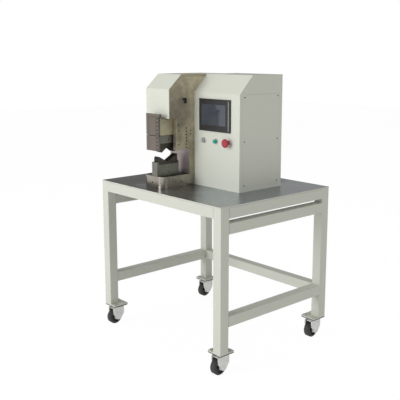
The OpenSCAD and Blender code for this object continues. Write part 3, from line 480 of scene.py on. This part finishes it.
class CRIMP_OT_finishes(bpy.types.Operator):
    """Build the texture groups and every finish of the machine"""
    bl_idname = "crimp.finishes"
    bl_label = "Build finishes"

    def execute(self, context):
        GROUPS["coat"] = build_powder_coat()
        GROUPS["steel"] = build_ground_steel()
        GROUPS["moulded"] = build_moulded()
        self.paints(context.scene.crimp_paint)
        self.large_steels(context.scene.crimp_steel)
        self.small_steels(context.scene.crimp_steel)
        self.bright_metals()
        self.rubber_and_plastic()
        self.controls(context.scene.crimp_controls)
        return {"FINISHED"}

    def paints(self, colours):
        finish("bench_paint", "coat", {"Colour": colours.tube_colour}, bump=0.12, depth=0.0003)
        finish("cover_paint", "coat", {"Colour": colours.sheet_colour, "Peel Scale": 1100.0}, bump=0.10,
               depth=0.0003)
        # Flat tops of the covers: darker copy of the cover paint, as painted shade.
        finish("shaded_top_paint", "coat", {"Colour": colours.shaded_top_colour, "Peel Scale": 1100.0}, bump=0.10,
               depth=0.0003)

    def large_steels(self, steel):
        """Bench top with its painted reflection, press frame and base, the right cheek with its painted
        shade, and the floor and the back wall of the throat, both darkened as painted shade.
        """
        # Painted reflection: the drift makes the polished top darker towards -X, down to the near-black
        # patch colour.
        finish("bench_top_steel", "steel", {
            "Colour": steel.bench_colour, "Patch Colour": darker(steel.bench_colour, 0.08),
            "Line Scale": (14.0, 700.0, 700.0), "Patch Scale": 5.0, "Line Amount": 0.2,
            "Shade Drift": (-3.0, 0.0, 0.0), "Low Roughness": 0.24, "High Roughness": 0.36},
            metallic=1.0, bump=0.05)
        finish("press_steel", "steel", {
            "Colour": steel.press_colour, "Patch Colour": (0.36, 0.32, 0.22),
            "Line Scale": (500.0, 500.0, 25.0), "Patch Scale": 11.0, "Line Amount": 0.3,
            "Low Roughness": 0.26, "High Roughness": 0.48}, metallic=0.9, bump=0.12)
        # Painted shade: the drift makes the right cheek darker towards the front and the bottom.
        finish("cheek_steel", "steel", {
            "Colour": (0.64, 0.58, 0.44), "Patch Colour": (0.31, 0.28, 0.215),
            "Line Scale": (500.0, 500.0, 25.0), "Patch Scale": 11.0, "Line Amount": 0.3,
            "Shade Drift": (0.0, -5.0, -0.5), "Low Roughness": 0.42, "High Roughness": 0.62},
            metallic=0.9, bump=0.12)
        finish("base_steel", "steel", {
            "Colour": (0.41, 0.37, 0.315), "Patch Colour": (0.28, 0.25, 0.22),
            "Line Scale": (30.0, 30.0, 900.0), "Patch Scale": 14.0, "Line Amount": 0.3,
            "Low Roughness": 0.18, "High Roughness": 0.34}, metallic=0.95, bump=0.1)
        # Near-black steel on the floor of the throat: painted shade in the recess; this face is part of the
        # base, whose steel is lighter.
        finish("shaded_floor_steel", "steel", {
            "Colour": (0.035, 0.03, 0.026), "Patch Colour": (0.015, 0.012, 0.01),
            "Line Scale": (30.0, 700.0, 700.0), "Low Roughness": 0.3, "High Roughness": 0.5},
            metallic=0.8, bump=0.1)
        # Back wall of the throat: steel darker and pinker than the frame's, darkened as painted shade in the
        # recess.
        finish("shaded_wall_steel", "steel", {
            "Colour": (0.40, 0.35, 0.34), "Patch Colour": (0.32, 0.27, 0.26),
            "Line Scale": (700.0, 700.0, 20.0), "Low Roughness": 0.35, "High Roughness": 0.55},
            metallic=0.8, bump=0.1)

    def small_steels(self, steel):
        """Guide, front plates, die holders and dies, with their screws and the dark lines of painted shade
        at the plates' steps.
        """
        finish("guide_steel", "steel", {
            "Colour": (0.56, 0.53, 0.40), "Patch Colour": (0.44, 0.40, 0.26),
            "Line Scale": (600.0, 40.0, 600.0), "Patch Scale": 18.0, "Line Amount": 0.35,
            "Low Roughness": 0.28, "High Roughness": 0.5}, metallic=0.9, bump=0.12)
        finish("plate_steel", "steel", {
            "Colour": steel.plate_colour, "Patch Colour": (0.20, 0.172, 0.15),
            "Line Scale": (700.0, 700.0, 20.0), "Patch Scale": 12.0, "Line Amount": 0.3,
            "Low Roughness": 0.28, "High Roughness": 0.46}, metallic=0.9, bump=0.12)
        finish("holder_steel", "steel", {
            "Colour": (0.24, 0.245, 0.215), "Patch Colour": (0.17, 0.17, 0.145),
            "Line Scale": (60.0, 700.0, 700.0), "Patch Scale": 16.0, "Line Amount": 0.35,
            "Low Roughness": 0.3, "High Roughness": 0.5}, metallic=0.75, bump=0.15)
        finish("die_steel", "steel", {
            "Colour": steel.die_colour, "Patch Colour": darker(steel.die_colour, 0.6),
            "Line Scale": (900.0, 60.0, 900.0), "Low Roughness": 0.28, "High Roughness": 0.42},
            metallic=0.6, bump=0.1)
        finish("black_steel", "moulded", {"Colour": (0.035, 0.035, 0.036)}, metallic=0.5, bump=0.05)
        # Near-black for the lines at the front plates' steps: painted shade.
        finish("step_shade_dark", "moulded", {"Colour": (0.03, 0.026, 0.024)})

    def bright_metals(self):
        """Screw, ram and pulleys, gibs, castor metal and the collars of the controls."""
        finish("bright_steel", "steel", {
            "Colour": (0.55, 0.55, 0.54), "Patch Colour": (0.45, 0.44, 0.42),
            "Line Scale": (500.0, 500.0, 20.0), "Low Roughness": 0.18, "High Roughness": 0.32},
            metallic=1.0, bump=0.08)
        finish("bronze", "steel", {
            "Colour": (0.62, 0.42, 0.20), "Patch Colour": (0.48, 0.30, 0.13),
            "Low Roughness": 0.28, "High Roughness": 0.42}, metallic=1.0, bump=0.08)
        finish("zinc", "steel", {
            "Colour": (0.62, 0.63, 0.64), "Patch Colour": (0.50, 0.51, 0.52),
            "Line Scale": (120.0, 120.0, 120.0), "Patch Scale": 40.0, "Low Roughness": 0.3,
            "High Roughness": 0.45}, metallic=0.95, bump=0.06)
        finish("castor_zinc", "steel", {
            "Colour": (0.74, 0.745, 0.72), "Patch Colour": (0.60, 0.605, 0.58),
            "Line Scale": (120.0, 120.0, 120.0), "Patch Scale": 40.0, "Low Roughness": 0.3,
            "High Roughness": 0.45}, metallic=0.5, bump=0.06)
        finish("chrome", "steel", {
            "Colour": (0.80, 0.81, 0.80), "Patch Colour": (0.74, 0.75, 0.74),
            "Line Amount": 0.05, "Low Roughness": 0.22, "High Roughness": 0.32}, metallic=0.6)

    def rubber_and_plastic(self):
        finish("wheel_rubber", "moulded", {
            "Colour": (0.03, 0.03, 0.032), "Grain Scale": 900.0, "Dust Amount": 1.2,
            "Low Roughness": 0.5, "High Roughness": 0.75}, bump=0.25, depth=0.0003)
        finish("belt_rubber", "moulded", {
            "Colour": (0.02, 0.02, 0.02), "Low Roughness": 0.6, "High Roughness": 0.8}, bump=0.3)
        finish("black_plastic", "moulded", {
            "Colour": (0.018, 0.018, 0.02), "Low Roughness": 0.32, "High Roughness": 0.42}, bump=0.12)
        finish("motor_black", "moulded", {"Colour": (0.03, 0.03, 0.033)}, bump=0.1)

    def controls(self, colours):
        finish("screen_glass", "moulded", {
            "Colour": colours.screen_colour, "Dust Amount": 0.3, "Low Roughness": 0.06,
            "High Roughness": 0.12}, coat=0.6)
        finish("stop_red", "moulded", {
            "Colour": colours.stop_colour, "Low Roughness": 0.24, "High Roughness": 0.32},
            bump=0.04, coat=0.3)
        finish("start_green", "moulded", {
            "Colour": colours.start_colour, "Low Roughness": 0.2, "High Roughness": 0.3},
            bump=0.04, coat=0.3)
        finish("selector_grey", "moulded", {
            "Colour": (0.52, 0.53, 0.53), "Low Roughness": 0.3, "High Roughness": 0.4}, bump=0.05)


class CRIMP_OT_bench(bpy.types.Operator):
    """Dress the welded tube bench and its polished top"""
    bl_idname = "crimp.bench"
    bl_label = "Bench"

    def execute(self, context):
        paint("bench_paint", *("leg_" + corner for corner in CORNERS), "front_rail", "back_rail",
              "lower_side_rails", "side_rails", "side_stretchers", "back_stretcher")
        dress("foot_plates", "bench_paint", context.scene.crimp_paint.foot_edge, angle=40.0)
        table = dress("table_top", "bench_top_steel", context.scene.crimp_steel.plate_edge)
        table.data.materials.append(FINISHES["bench_paint"])
        for face in table.data.polygons:
            face.material_index = int(abs(face.normal.z) < UPRIGHT)
        return {"FINISHED"}


class CRIMP_OT_castors(bpy.types.Operator):
    """Dress the four swivel castors and add the pressed skirts of their forks"""
    bl_idname = "crimp.castors"
    bl_label = "Castors"

    def execute(self, context):
        paint("black_steel", "castor_plates")
        paint("zinc", "castor_bolts")
        for corner in CORNERS:
            dress("castor_fork_" + corner, "castor_zinc", context.scene.crimp_steel.plate_edge, angle=50.0)
            paint("wheel_rubber", "castor_wheel_" + corner)
            self.hood(corner)
        return {"FINISHED"}

    def hood(self, corner):
        """Skirt round the top of a fork, with a mouth for the wheel and flanks down past the axle."""
        bm = bmesh.new()
        move = self.trailing_turn(corner)
        inner = HOOD_HALF - HOOD_WALL
        flank = ((HOOD_FRONT, HOOD_TOP), (HOOD_FRONT, HOOD_SILL), (HOOD_FOOT_FRONT, HOOD_FOOT_Z),
                 (HOOD_FOOT_BACK, HOOD_FOOT_Z), (HOOD_BACK, HOOD_SILL), (HOOD_BACK, HOOD_TOP))
        for x in (-HOOD_HALF, inner):
            add_prism(bm, flank, x, x + HOOD_WALL, move)
        back = self.section(HOOD_BACK - HOOD_WALL, HOOD_BACK, HOOD_SILL, HOOD_TOP)
        add_prism(bm, back, -inner, inner, move)
        front = self.section(HOOD_FRONT, HOOD_FRONT + HOOD_WALL, HOOD_SILL, HOOD_TOP)
        for x in (-inner, HOOD_MOUTH_HALF):
            add_prism(bm, front, x, x + inner - HOOD_MOUTH_HALF, move)
        lid = self.section(HOOD_FRONT + HOOD_WALL, HOOD_BACK - HOOD_WALL, HOOD_TOP - HOOD_WALL, HOOD_TOP)
        add_prism(bm, lid, -inner, inner, move)
        place(bm, "castor_hood_" + corner, "castor_zinc", "castor_fork_" + corner)

    def trailing_turn(self, corner):
        """Place on a castor's swivel axis, turned so that -Y looks to the side where its wheel stands."""
        pivot = next(joint for joint in RECORD["behaviour"]["joints"]
                     if joint["name"] == "castor_swivel_" + corner)
        axis = Vector((*pivot["pos_m"][:2], 0.0))
        low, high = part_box("castor_wheel_" + corner)
        trail = (low + high) / 2 - axis
        return Matrix.Translation(axis) @ Matrix.Rotation(math.atan2(trail.x, -trail.y), 4, "Z")

    def section(self, front, back, foot, top):
        """Outline of a straight sheet between two places and two heights."""
        return (front, foot), (back, foot), (back, top), (front, top)


class CRIMP_OT_press(bpy.types.Operator):
    """Dress the press frame, the ram and its guide"""
    bl_idname = "crimp.press"
    bl_label = "Press"

    def execute(self, context):
        edge = context.scene.crimp_steel.steel_edge
        # The base's top in the throat takes near-black steel as painted shade.
        dress("press_base", "base_steel", edge, angle=40.0, patch=Patch("shaded_floor_steel", 2, 1, BASE_TOP))
        # The throat's back wall takes the darker steel as painted shade.
        dress("press_column", "press_steel", edge, patch=Patch("shaded_wall_steel", 1, -1, THROAT_BACK))
        for node in ("left_cheek", "head_top_plate"):
            dress(node, "press_steel", edge, angle=40.0)
        # The right cheek's steel holds painted shade, darker to the front and the bottom.
        dress("right_cheek", "cheek_steel", edge, angle=40.0)
        dress("ram_guide", "guide_steel", edge)
        dress("guide_face_plate", "plate_steel", edge)
        dress("ram_front_plate", "plate_steel", edge)
        paint("bronze", "guide_gibs")
        paint("bright_steel", "ram")
        paint("black_steel", "frame_screws")
        return {"FINISHED"}


class CRIMP_OT_drive(bpy.types.Operator):
    """Dress the ball screw, its bearing, the belt drive and the motor"""
    bl_idname = "crimp.drive"
    bl_label = "Drive"

    def execute(self, context):
        for node in ("bearing_block", "motor_plate"):
            dress(node, "press_steel", context.scene.crimp_steel.steel_edge, angle=40.0)
        paint("bright_steel", "drive_screw", "screw_nut", "screw_pulley", "motor_pulley")
        paint("belt_rubber", "drive_belt")
        paint("motor_black", "servo_motor")
        return {"FINISHED"}


class CRIMP_OT_dies(bpy.types.Operator):
    """Dress the interleaved V dies and their holders"""
    bl_idname = "crimp.dies"
    bl_label = "Dies"

    def execute(self, context):
        steel = context.scene.crimp_steel
        for level in ("upper", "lower"):
            dress(level + "_die_holder", "holder_steel", steel.steel_edge, angle=40.0)
            dress(level + "_die", "die_steel", steel.die_edge, segments=1)
        return {"FINISHED"}


class CRIMP_OT_hardware(bpy.types.Operator):
    """Add the small screws, the oil fitting, a light strip of painted highlight on the bezel, and dark lines
    and a dark block of painted shade on the front plates
    """
    bl_idname = "crimp.hardware"
    bl_label = "Small hardware"

    def execute(self, context):
        steel = context.scene.crimp_steel
        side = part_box("right_cheek")[1][0]
        self.cheek_screws(side, steel.screw_size)
        self.oil_fitting(side)
        self.bezel_highlight_strip()
        for node in ("guide_face_plate", "ram_front_plate"):
            self.plate_screws(node, steel.screw_size, steel.screw_pitch)
            self.plate_step_shades(node)
        self.gap_shade_block()
        return {"FINISHED"}

    def cheek_screws(self, side, size):
        bm = bmesh.new()
        for y, height in CHEEK_SCREWS:
            add_stud(bm, (side - SINK, y, BENCH_Z + height), "X", size, size)
        place(bm, "cheek_cap_screws", "black_steel", "right_cheek")

    def oil_fitting(self, side):
        """Neck out of the cheek, an upright body on it and an arm to the front."""
        top = BENCH_Z + FITTING_TOP
        bm = bmesh.new()
        add_stud(bm, (side - SINK, FITTING_Y, top - FITTING_R), "X", FITTING_R, FITTING_NECK)
        body = side + FITTING_BODY_OUT
        add_box(bm, (body, FITTING_Y - FITTING_R, BENCH_Z + FITTING_FOOT),
                (body + FITTING_T, FITTING_Y + FITTING_R, top - FITTING_BODY_DROP))
        arm = side + FITTING_ARM_OUT
        add_box(bm, (arm, FITTING_Y - FITTING_ARM_REACH, top - FITTING_ARM_H),
                (arm + FITTING_T, FITTING_Y - FITTING_ARM_ROOT, top))
        place(bm, "oil_fitting", "black_steel", "right_cheek")

    # Light grey strip on the bezel: a painted highlight of the bezel's edge.
    def bezel_highlight_strip(self):
        low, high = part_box("touch_screen_bezel")
        left = high[0] - HIGHLIGHT_INSET
        bm = bmesh.new()
        add_box(bm, (left, low[1] - HIGHLIGHT_PROUD, low[2] + HIGHLIGHT_END),
                (left + HIGHLIGHT_W, low[1] + HIGHLIGHT_PROUD, high[2] - HIGHLIGHT_END))
        place(bm, "bezel_highlight_strip", "selector_grey", "touch_screen_bezel")

    def plate_screws(self, node, size, pitch):
        """Row of cap screws up the right side of a front plate."""
        low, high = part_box(node)
        count = int((high[2] - low[2] - ROW_SPARE) / pitch) + 1
        bm = bmesh.new()
        for i in range(count):
            foot = (high[0] - ROW_INSET, low[1] + SINK, low[2] + ROW_FOOT + i * pitch)
            add_stud(bm, foot, "Y", size, size)
        place(bm, node + "_screws", "black_steel", node)

    def plate_step_shades(self, node):
        """Dark upright lines of painted shade where a front plate is stepped."""
        low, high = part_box(node)
        bm = bmesh.new()
        for middle in (high[0] - ROW_INSET - STEP_SHADE_FROM_ROW, low[0] + STEP_SHADE_LEFT_INSET):
            add_box(bm, (middle - STEP_SHADE_HALF, low[1] - STEP_SHADE_PROUD, low[2] + STEP_SHADE_END),
                    (middle + STEP_SHADE_HALF, low[1] + STEP_SHADE_PROUD, high[2] - STEP_SHADE_END))
        place(bm, node + "_step_shades", "step_shade_dark", node)

    def gap_shade_block(self):
        """Dark block that closes the step between the guide's front plate and the head cover, standing in
        for the shade in that gap: painted shade.
        """
        low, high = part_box("guide_face_plate")
        bm = bmesh.new()
        add_box(bm, (low[0], low[1], high[2] + SHADE_BLOCK_GAP),
                (high[0] + SHADE_BLOCK_SIDE, high[1], high[2] + SHADE_BLOCK_H))
        place(bm, "guide_gap_shade_block", "plate_steel", "guide_face_plate")


class CRIMP_OT_covers(bpy.types.Operator):
    """Dress the white covers and the cabinet"""
    bl_idname = "crimp.covers"
    bl_label = "Covers and cabinet"

    def execute(self, context):
        edge = context.scene.crimp_paint.sheet_edge
        # The flat tops take the darker copy of the cover paint as painted shade.
        top = Patch("shaded_top_paint", 2, 1, COVER_TOP)
        for node in ("head_cover", "rear_cover", "cabinet_shell"):
            dress(node, "cover_paint", edge, angle=40.0, patch=top)
        dress("side_panel", "cover_paint", edge)
        paint("cover_paint", "back_panel")
        paint("black_steel", "panel_screws")
        paint("black_plastic", "power_inlet")
        return {"FINISHED"}


class CRIMP_OT_controls(bpy.types.Operator):
    """Dress the touch screen, the selector and the buttons"""
    bl_idname = "crimp.controls"
    bl_label = "Controls"

    def execute(self, context):
        controls = context.scene.crimp_controls
        dress("touch_screen_bezel", "black_plastic", controls.bezel_edge)
        paint("screen_glass", "touch_screen_glass")
        paint("chrome", "switch_collars")
        dress("selector_knob", "selector_grey", controls.knob_edge)
        dress("start_button", "start_green", controls.knob_edge, angle=40.0)
        paint("stop_red", "estop_stem")
        dress("estop_head", "stop_red", controls.stop_edge, angle=40.0)
        return {"FINISHED"}


class CRIMP_OT_stage(bpy.types.Operator):
    """Set up the pale floor, the room, the soft boxes and the camera"""
    bl_idname = "crimp.stage"
    bl_label = "Stage"

    def execute(self, context):
        scene = context.scene
        studio = scene.crimp_studio
        self.floor(scene, studio.floor_colour)
        self.room(scene, studio.fill_level)
        self.lamps(scene, studio.key_power)
        self.camera(scene)
        scene.view_settings.view_transform = "Standard"
        return {"FINISHED"}

    def floor(self, scene, colour):
        """Matt sheet that the camera sees mostly as an even white."""
        bm = bmesh.new()
        bmesh.ops.create_grid(bm, x_segments=1, y_segments=1, size=FLOOR_REACH)
        mesh = bpy.data.meshes.new("studio_floor")
        bm.to_mesh(mesh)
        bm.free()
        floor = bpy.data.objects.new("studio_floor", mesh)
        scene.collection.objects.link(floor)
        mat = bpy.data.materials.new("floor_paper")
        mat.use_nodes = True
        tree = mat.node_tree
        shader = tree.nodes["Principled BSDF"]
        shader.inputs["Base Color"].default_value = (*colour, 1.0)
        shader.inputs["Roughness"].default_value = 1.0
        shader.inputs["Specular IOR Level"].default_value = 0.0
        glow = tree.nodes.new("ShaderNodeEmission")
        glow.inputs["Strength"].default_value = FLOOR_GLOW
        ray = tree.nodes.new("ShaderNodeLightPath").outputs
        mirrored = calc(tree, "MAXIMUM", ray["Is Glossy Ray"], ray["Is Transmission Ray"])
        seen = calc(tree, "MAXIMUM", ray["Is Camera Ray"], mirrored)
        self.mix(tree, calc(tree, "MULTIPLY", seen, FLOOR_GLOW_SHARE), shader.outputs["BSDF"],
                 glow.outputs["Emission"], tree.nodes["Material Output"])
        mesh.materials.append(mat)

    def room(self, scene, level):
        """Even warm light from all round, which the camera sees as white."""
        world = bpy.data.worlds.new("studio_room")
        world.use_nodes = True
        scene.world = world
        tree = world.node_tree
        light = tree.nodes["Background"]
        light.inputs["Color"].default_value = ROOM_COLOUR
        light.inputs["Strength"].default_value = level
        white = tree.nodes.new("ShaderNodeBackground")
        white.inputs["Color"].default_value = WHITE
        ray = tree.nodes.new("ShaderNodeLightPath").outputs
        self.mix(tree, ray["Is Camera Ray"], light.outputs["Background"], white.outputs["Background"],
                 tree.nodes["World Output"])

    def mix(self, tree, share, first, second, output):
        """Blend of two shaders, led to the surface of an output."""
        node = tree.nodes.new("ShaderNodeMixShader")
        tree.links.new(share, node.inputs["Fac"])
        tree.links.new(first, node.inputs[1])
        tree.links.new(second, node.inputs[2])
        tree.links.new(node.outputs["Shader"], output.inputs["Surface"])

    def lamps(self, scene, key_power):
        for name, spot, size, share in SOFT_BOXES:
            lamp = bpy.data.lights.new(name, "AREA")
            lamp.energy = key_power * share
            lamp.size = size
            light = bpy.data.objects.new(name, lamp)
            light.location = spot
            aim = Vector(LIGHT_TARGET) - Vector(spot)
            light.rotation_euler = aim.to_track_quat("-Z", "Y").to_euler()
            scene.collection.objects.link(light)

    def camera(self, scene):
        """Camera that stands where the photograph was taken from."""
        lens = bpy.data.cameras.new("photo_camera")
        lens.sensor_width = CAMERA_SENSOR
        lens.lens = CAMERA_LENS
        lens.shift_x, lens.shift_y = CAMERA_SHIFT
        lens.clip_end = CAMERA_REACH
        camera = bpy.data.objects.new("photo_camera", lens)
        camera.location = CAMERA_PLACE
        camera.rotation_euler = (math.radians(90.0 - CAMERA_DIP), 0.0, math.radians(CAMERA_HEADING))
        scene.collection.objects.link(camera)
        scene.camera = camera


# Panel and registration

SETTINGS = (("crimp_paint", PaintSettings), ("crimp_steel", SteelSettings),
            ("crimp_controls", ControlSettings), ("crimp_studio", StudioSettings))
OPERATORS = (CRIMP_OT_finishes, CRIMP_OT_bench, CRIMP_OT_castors, CRIMP_OT_press, CRIMP_OT_drive,
             CRIMP_OT_dies, CRIMP_OT_hardware, CRIMP_OT_covers, CRIMP_OT_controls, CRIMP_OT_stage)


class CRIMP_PT_panel(bpy.types.Panel):
    """Lists the machine's settings and pieces in the sidebar"""
    bl_label = "Crimping Machine"
    bl_idname = "CRIMP_PT_panel"
    bl_space_type = "VIEW_3D"
    bl_region_type = "UI"
    bl_category = "Crimping Machine"

    def draw(self, context):
        for key, group in SETTINGS:
            box = self.layout.box()
            for label in group.__annotations__:
                box.prop(getattr(context.scene, key), label)
        for operator in OPERATORS:
            self.layout.operator(operator.bl_idname)


def register():
    for key, group in SETTINGS:
        bpy.utils.register_class(group)
        setattr(bpy.types.Scene, key, bpy.props.PointerProperty(type=group))
    for operator in OPERATORS:
        bpy.utils.register_class(operator)
    bpy.utils.register_class(CRIMP_PT_panel)


def unregister():
    bpy.utils.unregister_class(CRIMP_PT_panel)
    for operator in reversed(OPERATORS):
        bpy.utils.unregister_class(operator)
    for key, group in reversed(SETTINGS):
        delattr(bpy.types.Scene, key)
        bpy.utils.unregister_class(group)


def main():
    register()
    for operator in OPERATORS:
        family, name = operator.bl_idname.split(".")
        getattr(getattr(bpy.ops, family), name)()


if __name__ == "__main__":
    main()
